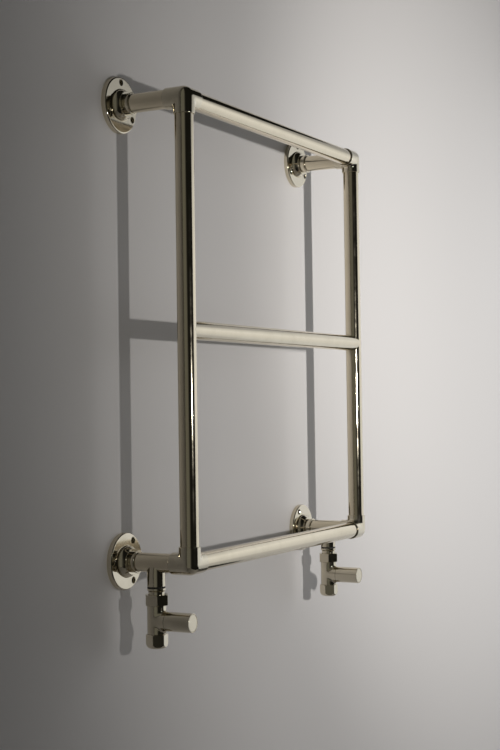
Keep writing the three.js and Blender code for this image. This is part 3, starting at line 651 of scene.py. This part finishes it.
union_nut_corner_radius = 16 * MM / cos(pi / 6)
pipe_nut_corner_radius = 14.25 * MM / cos(pi / 6)
nut_chamfer = 1.3 * MM
nut_chamfer_round = 0.5 * MM
nut_edge_round = 0.45 * MM
nut_play = 0.3 * MM
union_corner_angle = {"left": 35, "right": 145}
pipe_corner_angle = {"left": 9, "right": 0}
union_thread_radius = 13.4 * MM
union_roof_thickness = 1.8 * MM
pipe_nut_straight = 11.5 * MM
pipe_nut_nose_radius = 10 * MM
pipe_nut_nose_steps = 12
pipe_nut_thread_radius = 12.3 * MM
pipe_nut_thread_depth = 11.3 * MM
pipe_radius = 7.8 * MM
olive_seat_radius = 9.5 * MM
olive_seat_end_radius = 8.6 * MM
olive_seat_depth = 16.6 * MM
olive_seat_length = 2 * MM


def hex_nut(name, foot, height, corner_radius, corner_angle, blank, bore):
    """A hexagonal bar with softened corners, turned to the blank's outline and bored out."""
    bpy.ops.object.select_all(action="DESELECT")
    bpy.ops.mesh.primitive_cylinder_add(vertices=6, radius=corner_radius, depth=height)
    nut = bpy.context.object
    nut.name = name
    first_corner = Matrix.Rotation(radians(corner_angle - 90), 4, "Z")
    nut.data.transform(Matrix.Translation(foot + Z_AXIS * height / 2) @ first_corner)
    alone(nut, "EDIT")
    shape = bmesh.from_edit_mesh(nut.data)
    for edge in shape.edges:
        first, last = (vertex.co for vertex in edge.verts)
        if abs(first.z - last.z) > height / 2:
            edge.select_set(True)
    bmesh.update_edit_mesh(nut.data)
    bpy.ops.mesh.bevel(offset=nut_edge_round, segments=3)
    bpy.ops.object.mode_set(mode="OBJECT")
    cut(nut, turned("blank", blank, foot, Z_AXIS), "INTERSECT")
    cut(nut, turned("bore", bore, foot, Z_AXIS))
    return nut


for side in ("left", "right"):
    node = f"union_nut_{side}"
    foot = middle_of(node)
    foot.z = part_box(node)[0].z
    height = size_of(node).z
    roof = height - union_roof_thickness
    blank = [
        (0, 0, 0),
        (union_nut_corner_radius - nut_chamfer, 0, 0),
        (union_nut_corner_radius, nut_chamfer, nut_chamfer_round),
        (union_nut_corner_radius, height - nut_chamfer, nut_chamfer_round),
        (union_nut_corner_radius - nut_chamfer, height, 0),
        (0, height, 0),
    ]
    bore = [
        (0, -OVERRUN, 0),
        (union_thread_radius, -OVERRUN, 0),
        (union_thread_radius, roof, 0),
        (tail_neck_radius + nut_play, roof, 0),
        (tail_neck_radius + nut_play, height + OVERRUN, 0),
        (0, height + OVERRUN, 0),
    ]
    nut = hex_nut(f"union_hex_nut_{side}", foot, height,
                  union_nut_corner_radius, union_corner_angle[side], blank, bore)
    finished(nut, nickel_up, "root", "polished_nickel", node)

    node = f"pipe_nut_{side}"
    foot = middle_of(node)
    foot.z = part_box(node)[0].z
    height = size_of(node).z
    nose_height = height - pipe_nut_straight
    nose = []
    for step in range(pipe_nut_nose_steps + 1):
        turn = step / pipe_nut_nose_steps * pi / 2
        radius = pipe_nut_nose_radius + (pipe_nut_corner_radius - pipe_nut_nose_radius) * sin(turn)
        nose.append((radius, nose_height * (1 - cos(turn)), 0))
    blank = [
        (0, 0, 0),
        *nose,
        (pipe_nut_corner_radius, height - nut_chamfer, nut_chamfer_round),
        (pipe_nut_corner_radius - nut_chamfer, height, 0),
        (0, height, 0),
    ]
    bore = [
        (0, -OVERRUN, 0),
        (pipe_radius, -OVERRUN, 0),
        (pipe_radius, height - olive_seat_depth, 0),
        (olive_seat_end_radius, height - olive_seat_depth, 0),
        (olive_seat_radius, height - olive_seat_depth + olive_seat_length, 0),
        (olive_seat_radius, height - pipe_nut_thread_depth, 0),
        (pipe_nut_thread_radius, height - pipe_nut_thread_depth, 0),
        (pipe_nut_thread_radius, height + OVERRUN, 0),
        (0, height + OVERRUN, 0),
    ]
    nut = hex_nut(f"compression_nut_{side}", foot, height,
                  pipe_nut_corner_radius, pipe_corner_angle[side], blank, bore)
    finished(nut, nickel_up, "root", "polished_nickel", node)


# ---------------------------------------------------------------- valve bodies
# A brass stamping, polished and plated: an upright trunk with threaded necks above and below, and a
# branch of the same girth towards the room that flows out of the trunk in a soft fillet.

body_above = 22.7 * MM
body_below = 18.4 * MM
neck_radius = 13.1 * MM
neck_top = 33 * MM
lower_neck_radius = 12 * MM
lower_neck_end = 29 * MM
branch_reach = 19 * MM
branch_fillet = 3.4 * MM
body_rim_round = 0.4 * MM
neck_overlap = 2 * MM
chamber_radius = 9 * MM
seat_radius = 4.5 * MM
passage_radius = 4.5 * MM
passage_shift = 5.5 * MM
chamber_floor = MM
upper_bore_radius = 8.5 * MM
pipe_socket_depth = 16 * MM
body_radius = size_of("handle_left").x / 2

trunk = tube_wall_along(Z_AXIS, body_radius, -body_below, body_above)
mitre(trunk, Z_AXIS + Y_AXIS, drop=False)
mitre(trunk, Z_AXIS - Y_AXIS, drop=False)
alone(trunk, "EDIT")
shape = bmesh.from_edit_mesh(trunk.data)
for face in shape.faces:
    middle = face.calc_center_median()
    if middle.y < 0 and abs(middle.z) < -middle.y:
        face.select_set(True)
bmesh.update_edit_mesh(trunk.data)
bpy.ops.mesh.delete(type="FACE")
bpy.ops.object.mode_set(mode="OBJECT")
branch = tube_wall_along(-Y_AXIS, body_radius, 0, branch_reach)
mitre(branch, Y_AXIS + Z_AXIS)
mitre(branch, Y_AXIS - Z_AXIS)
stamping = welded([trunk, branch], "stamping")
fillet_creases(stamping, branch_fillet)
alone(stamping, "EDIT")
bpy.ops.mesh.select_all(action="SELECT")
bpy.ops.mesh.fill_holes(sides=0)
bpy.ops.mesh.normals_make_consistent(inside=False)
bpy.ops.object.mode_set(mode="OBJECT")
soften_rims(stamping, body_rim_round)
merge_points(stamping, merge_distance)

origin = Vector()
necks = (
    ("upper_neck", neck_radius, origin, Z_AXIS, body_above - neck_overlap, neck_top),
    ("lower_neck", lower_neck_radius, origin, -Z_AXIS, body_below - neck_overlap, lower_neck_end),
)
for neck in necks:
    cut(stamping, bar(*neck), "UNION")
inlet_foot = Y_AXIS * passage_shift
outlet_foot = -Y_AXIS * (passage_shift + chamber_floor)
socket_start = lower_neck_end - pipe_socket_depth
hollows = (
    ("chamber", chamber_radius, origin, -Y_AXIS, chamber_floor, branch_reach + OVERRUN),
    ("seat", seat_radius, origin, -Y_AXIS, -passage_shift, chamber_floor + OVERRUN),
    ("inlet", passage_radius, inlet_foot, -Z_AXIS, -seat_radius, lower_neck_end + OVERRUN),
    ("outlet", passage_radius, outlet_foot, Z_AXIS, 0, neck_top + OVERRUN),
    ("upper_bore", upper_bore_radius, origin, Z_AXIS, body_above, neck_top + OVERRUN),
    ("pipe_socket", pipe_radius, origin, -Z_AXIS, socket_start, lower_neck_end + OVERRUN),
)
for hollow in hollows:
    cut(stamping, bar(*hollow))

for side in ("left", "right"):
    centre = middle_of(f"union_nut_{side}")
    centre.z = middle_of(f"handle_{side}").z
    body = copy_of(stamping, f"valve_stamping_{side}", Matrix.Translation(centre))
    finished(body, nickel_cast, "root", "polished_nickel", f"valve_body_{side}")
bpy.data.objects.remove(stamping)


# ---------------------------------------------------------------- handles
# Turned brass handles of the same girth as the branch, which makes one plain cylinder with it. A socket
# at the back covers the bonnet, a square hole fits the spindle, and a flat cap closes the front.

handle_end = 61 * MM
handle_gap = 0.3 * MM
handle_back = branch_reach + handle_gap
handle_back_round = 0.1 * MM
handle_edge_round = 0.7 * MM
handle_mouth_round = 0.2 * MM
skirt_bore_radius = 12.3 * MM
skirt_depth = 17 * MM
screw_well_radius = 6 * MM
screw_well_floor = 50 * MM
cap_gap = 0.3 * MM
cap_recess = 2 * MM
cap_edge_round = 0.35 * MM
square_hole = 6.8 * MM


def squared_bar(name, width, foot, axis, low, high, rounding=0):
    """A square bar along +Y or -Y, with rounded edges if asked."""
    bpy.ops.object.select_all(action="DESELECT")
    bpy.ops.mesh.primitive_cube_add(size=1, scale=(width, high - low, width),
                                    location=foot + axis * (low + high) / 2)
    square = bpy.context.object
    square.name = name
    bpy.ops.object.transform_apply()
    if rounding:
        apply_modifier(square, "BEVEL", width=rounding, segments=3)
    return square


for side in ("left", "right"):
    axle = middle_of(f"union_nut_{side}")
    axle.z = middle_of(f"handle_{side}").z
    cap_radius = size_of(f"handle_cap_{side}").x / 2
    outline = [
        (0, handle_back + skirt_depth, 0),
        (skirt_bore_radius, handle_back + skirt_depth, 0),
        (skirt_bore_radius, handle_back, 0),
        (body_radius, handle_back, handle_back_round),
        (body_radius, handle_end, handle_edge_round),
        (cap_radius + cap_gap, handle_end, handle_mouth_round),
        (cap_radius + cap_gap, handle_end - cap_recess, 0),
        (screw_well_radius, handle_end - cap_recess, 0),
        (screw_well_radius, screw_well_floor, 0),
        (0, screw_well_floor, 0),
    ]
    handle = turned(f"valve_handle_{side}", outline, axle, -Y_AXIS)
    cut(handle, squared_bar("square_hole", square_hole, axle, -Y_AXIS, handle_back, handle_end))
    finished(handle, nickel_to_wall, f"handle_{side}", "polished_nickel", f"handle_{side}")

    front, back = (axle.y - corner.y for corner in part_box(f"handle_cap_{side}"))
    outline = [(0, back, 0), (cap_radius, back, 0), (cap_radius, front, cap_edge_round), (0, front, 0)]
    cap = turned(f"handle_face_{side}", outline, axle, -Y_AXIS)
    finished(cap, nickel_cast, f"handle_{side}", "polished_nickel", f"handle_cap_{side}")


# ---------------------------------------------------------------- air vent
# A short threaded boss is brazed to the back of the top rail, out of sight. The vent screw in it has a
# square end for a radiator key.

vent_bore_radius = 3.3 * MM
boss_foot = tube_radius * 0.8
boss_rim_round = 0.6 * MM
vent_cope_reach = 20 * MM
vent_tip_round = 1.4 * MM
vent_shoulder = 0.3 * MM
vent_shoulder_round = 0.2 * MM
key_width = 5 * MM
key_edge_round = 0.35 * MM

rail_centre = middle_of("rail_top")
rail_centre.x = middle_of("vent_boss").x
boss_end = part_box("vent_boss")[1].y - rail_centre.y
boss_radius = size_of("vent_boss").x / 2
outline = [
    (vent_bore_radius, boss_foot, 0),
    (boss_radius, boss_foot, 0),
    (boss_radius, boss_end, boss_rim_round),
    (vent_bore_radius, boss_end, 0),
]
boss = turned("air_vent_boss", outline, rail_centre, Y_AXIS, around=SMALL_AROUND)
cut(boss, bar("cope", tube_radius + braze_gap, rail_centre, X_AXIS, -vent_cope_reach, vent_cope_reach))
finished(boss, nickel_cast, "root", "polished_nickel", "vent_boss")

tip, key_end = (corner.y - rail_centre.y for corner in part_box("vent_screw"))
key_start = boss_end + vent_shoulder
shank_radius = size_of("vent_screw").x / 2
outline = [
    (0, tip, 0),
    (shank_radius, tip, vent_tip_round),
    (shank_radius, key_start + vent_shoulder, vent_shoulder_round),
    (0, key_start + vent_shoulder, 0),
]
screw = turned("air_vent_screw", outline, rail_centre, Y_AXIS, around=SMALL_AROUND)
key = squared_bar("key", key_width, rail_centre, Y_AXIS, key_start, key_end, rounding=key_edge_round)
cut(screw, key, "UNION")
finished(screw, nickel_cast, "vent_screw", "polished_nickel", "vent_screw")


# ---------------------------------------------------------------- inside the valves
# Plain turned brass, a steel screw and black rubber seals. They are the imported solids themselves, which
# take their finish here.

brass = metal("turned_brass", (0.62, 0.42, 0.17, 1), (0.50, 0.33, 0.13, 1), (0.70, 0.50, 0.24, 1),
              smooth=0.18, dull=0.32, relief=0.2)
steel = metal("bright_steel", (0.50, 0.49, 0.47, 1), (0.40, 0.39, 0.37, 1), (0.58, 0.57, 0.55, 1),
              smooth=0.16, dull=0.28, relief=0.15)
inner_materials = {
    "olive": brass,
    "bonnet": brass,
    "spindle": brass,
    "valve_plug": brass,
    "handle_screw": steel,
    "spindle_o_ring": rubber,
    "plug_washer": rubber,
}
for name, material in inner_materials.items():
    for side in ("left", "right"):
        for material_slot in bpy.data.objects[f"{name}_{side}"].material_slots:
            material_slot.material = material


# ---------------------------------------------------------------- wall and floor
# A plain painted wall that the radiator hangs on, and a floor in the same paint well below it. Behind each
# screw hole lies a near-black disc on the wall: painted shade that stands for the dark depth of a drilled
# hole.

wall_gap = 0.3 * MM
contact_reach = MM     # a ray shorter than this has left the back of a plate
wall_ends = (-2.6, 4.5)
wall_top = 2
floor_ends = (-2.6, 2.6)
floor_level = -2
floor_depth = 1.6
hole_shade_radius = 4 * MM


def wall_material(name, colour):
    """Paint or plaster with a faint satin sheen, see-through from behind and where a plate lies on it."""
    material = bpy.data.materials.new(name)
    material.use_nodes = True
    nodes, links = material.node_tree.nodes, material.node_tree.links
    shader = nodes["Principled BSDF"]
    shader.inputs["Base Color"].default_value = colour
    shader.inputs["Roughness"].default_value = 0.55
    shader.inputs["Specular IOR Level"].default_value = 0.25
    place = nodes.new("ShaderNodeTexCoord")
    grain = nodes.new("ShaderNodeTexNoise")
    grain.inputs["Scale"].default_value = 260
    grain.inputs["Detail"].default_value = 4
    links.new(place.outputs["Object"], grain.inputs["Vector"])
    relief = nodes.new("ShaderNodeBump")
    relief.inputs["Strength"].default_value = 0.08
    relief.inputs["Distance"].default_value = MM
    links.new(grain.outputs["Fac"], relief.inputs["Height"])
    links.new(relief.outputs["Normal"], shader.inputs["Normal"])
    clear = nodes.new("ShaderNodeBsdfTransparent")
    side = nodes.new("ShaderNodeNewGeometry")
    path = nodes.new("ShaderNodeLightPath")
    touching = nodes.new("ShaderNodeMath")
    touching.operation = "LESS_THAN"
    touching.inputs[1].default_value = contact_reach
    links.new(path.outputs["Ray Length"], touching.inputs[0])
    unseen = nodes.new("ShaderNodeMath")
    unseen.operation = "MAXIMUM"
    links.new(side.outputs["Backfacing"], unseen.inputs[0])
    links.new(touching.outputs["Value"], unseen.inputs[1])
    mix = nodes.new("ShaderNodeMixShader")
    links.new(unseen.outputs["Value"], mix.inputs["Fac"])
    links.new(shader.outputs["BSDF"], mix.inputs[1])
    links.new(clear.outputs["BSDF"], mix.inputs[2])
    links.new(mix.outputs["Shader"], nodes["Material Output"].inputs["Surface"])
    return material


def sheet(name, left, right, low, high, turn):
    """A flat sheet from left to right and from low to high, upright or laid down by its turn about X."""
    bpy.ops.object.select_all(action="DESELECT")
    bpy.ops.mesh.primitive_plane_add(size=1, rotation=(turn, 0, 0))
    plane = bpy.context.object
    plane.name = name
    plane.location = ((left + right) / 2, *((low + high) / 2))
    plane.scale = (right - left, (high - low).length, 1)
    bpy.ops.object.transform_apply()
    plane.data.materials.append(plaster)


plaster = wall_material("wall_paint", (0.785, 0.757, 0.739, 1))
# Near-black paint: painted shade for the depth of the drilled hole behind each screw hole.
hole_shade_paint = wall_material("painted_hole_shade", (0.01, 0.009, 0.008, 1))
skirting = Vector((wall_gap, floor_level))
sheet("wall", *wall_ends, skirting, Vector((wall_gap, wall_top)), pi / 2)
sheet("floor", *floor_ends, Vector((-floor_depth, floor_level)), skirting, 0)

for place in first_hole_angle:
    plate_centre = middle_of(f"wall_plate_{place}")
    plate_centre.y = wall_gap / 2
    for across in screw_holes(place):
        # A flat disc of painted shade where a drilled hole would lie dark.
        bpy.ops.object.select_all(action="DESELECT")
        bpy.ops.mesh.primitive_circle_add(vertices=24, radius=hole_shade_radius, fill_type="NGON",
                                          location=plate_centre + across, rotation=(pi / 2, 0, 0))
        painted_hole_shade = bpy.context.object
        painted_hole_shade.name = "painted_hole_shade"
        bpy.ops.object.transform_apply()
        painted_hole_shade.data.materials.append(hole_shade_paint)


# ---------------------------------------------------------------- light
# A tall soft panel stands to the right of the radiator, as a bright window would, in an otherwise dim
# room. In front hangs a small lamp, a narrow spot in a wide one, that lights the wall and casts the shadows.

panel_from_middle = 1.65
panel_ends = (-3.4, -0.02)
panel_levels = (-1.35, 1.08)
panel_colour = (0.985, 1.0, 1.02)
panel_brightness = {
    -1.35: 0.42, -0.9: 0.57, -0.75: 0.74, -0.3: 0.85, 0.25: 0.97, 0.65: 0.74, 0.8: 0.49, 1.08: 0.34,
}
panel_width = panel_ends[1] - panel_ends[0]
panel_height = panel_levels[1] - panel_levels[0]
panel = bpy.data.lights.new("window_panel", "AREA")
panel.shape = "RECTANGLE"
panel.size = panel_height
panel.size_y = panel_width
panel.energy = pi * panel_width * panel_height
panel.color = panel_colour
panel.use_nodes = True
nodes, links = panel.node_tree.nodes, panel.node_tree.links
separate = nodes.new("ShaderNodeSeparateXYZ")
links.new(nodes.new("ShaderNodeNewGeometry").outputs["Position"], separate.inputs["Vector"])
share = nodes.new("ShaderNodeMapRange")
share.inputs["From Min"].default_value, share.inputs["From Max"].default_value = panel_levels
links.new(separate.outputs["Z"], share.inputs["Value"])
fall = nodes.new("ShaderNodeValToRGB")
stops = fall.color_ramp.elements
for level, brightness in panel_brightness.items():
    place = (level - panel_levels[0]) / panel_height
    stop = stops[0] if place == 0 else stops[-1] if place == 1 else stops.new(place)
    stop.color = (brightness, brightness, brightness, 1)
links.new(share.outputs["Result"], fall.inputs["Fac"])
links.new(fall.outputs["Color"], nodes["Emission"].inputs["Strength"])
panel_object = bpy.data.objects.new("window_panel", panel)
panel_object.location = (panel_from_middle, sum(panel_ends) / 2, sum(panel_levels) / 2)
panel_object.rotation_euler = (0, pi / 2, 0)
panel_object.visible_camera = False
bpy.context.scene.collection.objects.link(panel_object)

lamp_place = (-0.475, -1.67)
lamp_direction = Vector((2.78, 1.67, 0.42))
lamp_colour = (1.0, 0.985, 0.96)
lamp_radius = 25 * MM
for name, power, spread, level in (("lamp", 116, 84, -0.05), ("lamp_spill", 60, 136, -0.1)):
    lamp = bpy.data.lights.new(name, "SPOT")
    lamp.energy = power
    lamp.color = lamp_colour
    lamp.shadow_soft_size = lamp_radius
    lamp.spot_size = radians(spread)
    lamp.spot_blend = 1
    lamp_object = bpy.data.objects.new(name, lamp)
    lamp_object.location = (*lamp_place, level)
    lamp_object.rotation_euler = lamp_direction.to_track_quat("-Z", "Y").to_euler()
    bpy.context.scene.collection.objects.link(lamp_object)

world = bpy.data.worlds.new("studio")
bpy.context.scene.world = world
world.use_nodes = True
nodes, links = world.node_tree.nodes, world.node_tree.links


def number(operation, first, second):
    """A math node in the world, fed by sockets or plain numbers."""
    node = nodes.new("ShaderNodeMath")
    node.operation = operation
    for index, value in enumerate((first, second)):
        if isinstance(value, bpy.types.NodeSocket):
            links.new(value, node.inputs[index])
        else:
            node.inputs[index].default_value = value
    return node.outputs["Value"]


def ramp(value, start, end, low, high):
    """A smooth step from low to high while the value goes from start to end."""
    node = nodes.new("ShaderNodeMapRange")
    node.interpolation_type = "SMOOTHSTEP"
    links.new(value, node.inputs["Value"])
    for name, setting in (("From Min", start), ("From Max", end), ("To Min", low), ("To Max", high)):
        node.inputs[name].default_value = setting
    return node.outputs["Result"]


direction = nodes.new("ShaderNodeTexCoord").outputs["Generated"]
separate = nodes.new("ShaderNodeSeparateXYZ")
links.new(direction, separate.inputs["Vector"])
east, north = separate.outputs["X"], separate.outputs["Y"]
azimuth = number("MULTIPLY", number("ARCTAN2", north, east), 180 / pi)
left_glow = ramp(azimuth, -130, -152, 0, 0.125)
glow_behind_wall = ramp(north, 0.1, 0.5, 0, 0.3)
dimness = 0.009
room = number("ADD", number("ADD", left_glow, glow_behind_wall), dimness)
shine = nodes.new("ShaderNodeBackground")
links.new(room, shine.inputs["Strength"])
shine.inputs["Color"].default_value = (1.0, 0.98, 0.82, 1)
backdrop = nodes.new("ShaderNodeBackground")
backdrop.inputs["Color"].default_value = (0.80, 0.79, 0.77, 1)
seen = nodes.new("ShaderNodeLightPath")
mix = nodes.new("ShaderNodeMixShader")
links.new(seen.outputs["Is Camera Ray"], mix.inputs["Fac"])
links.new(shine.outputs["Background"], mix.inputs[1])
links.new(backdrop.outputs["Background"], mix.inputs[2])
links.new(mix.outputs["Shader"], nodes["World Output"].inputs["Surface"])


# ---------------------------------------------------------------- camera
# Level with the middle of the frame, well to its left and looking along the wall.

camera_place = Vector((-2.0255, -1.1271, -0.1115))
camera_yaw = radians(62.193)
camera_pitch = radians(1.284)
camera_roll = radians(-0.830)
ahead = Vector((sin(camera_yaw) * cos(camera_pitch), cos(camera_yaw) * cos(camera_pitch), sin(camera_pitch)))
across = Vector((cos(camera_yaw), -sin(camera_yaw), 0))
above = across.cross(ahead)
right = across * cos(camera_roll) + above * sin(camera_roll)
upward = above * cos(camera_roll) - across * sin(camera_roll)
turn = Matrix((right, upward, -ahead)).transposed().to_4x4()
camera = bpy.data.cameras.new("camera")
camera.lens = 66.57
camera.sensor_width = 36
camera_object = bpy.data.objects.new("camera", camera)
camera_object.matrix_world = Matrix.Translation(camera_place) @ turn
bpy.context.scene.collection.objects.link(camera_object)
bpy.context.scene.camera = camera_object
bpy.context.scene.view_settings.view_transform = "Standard"
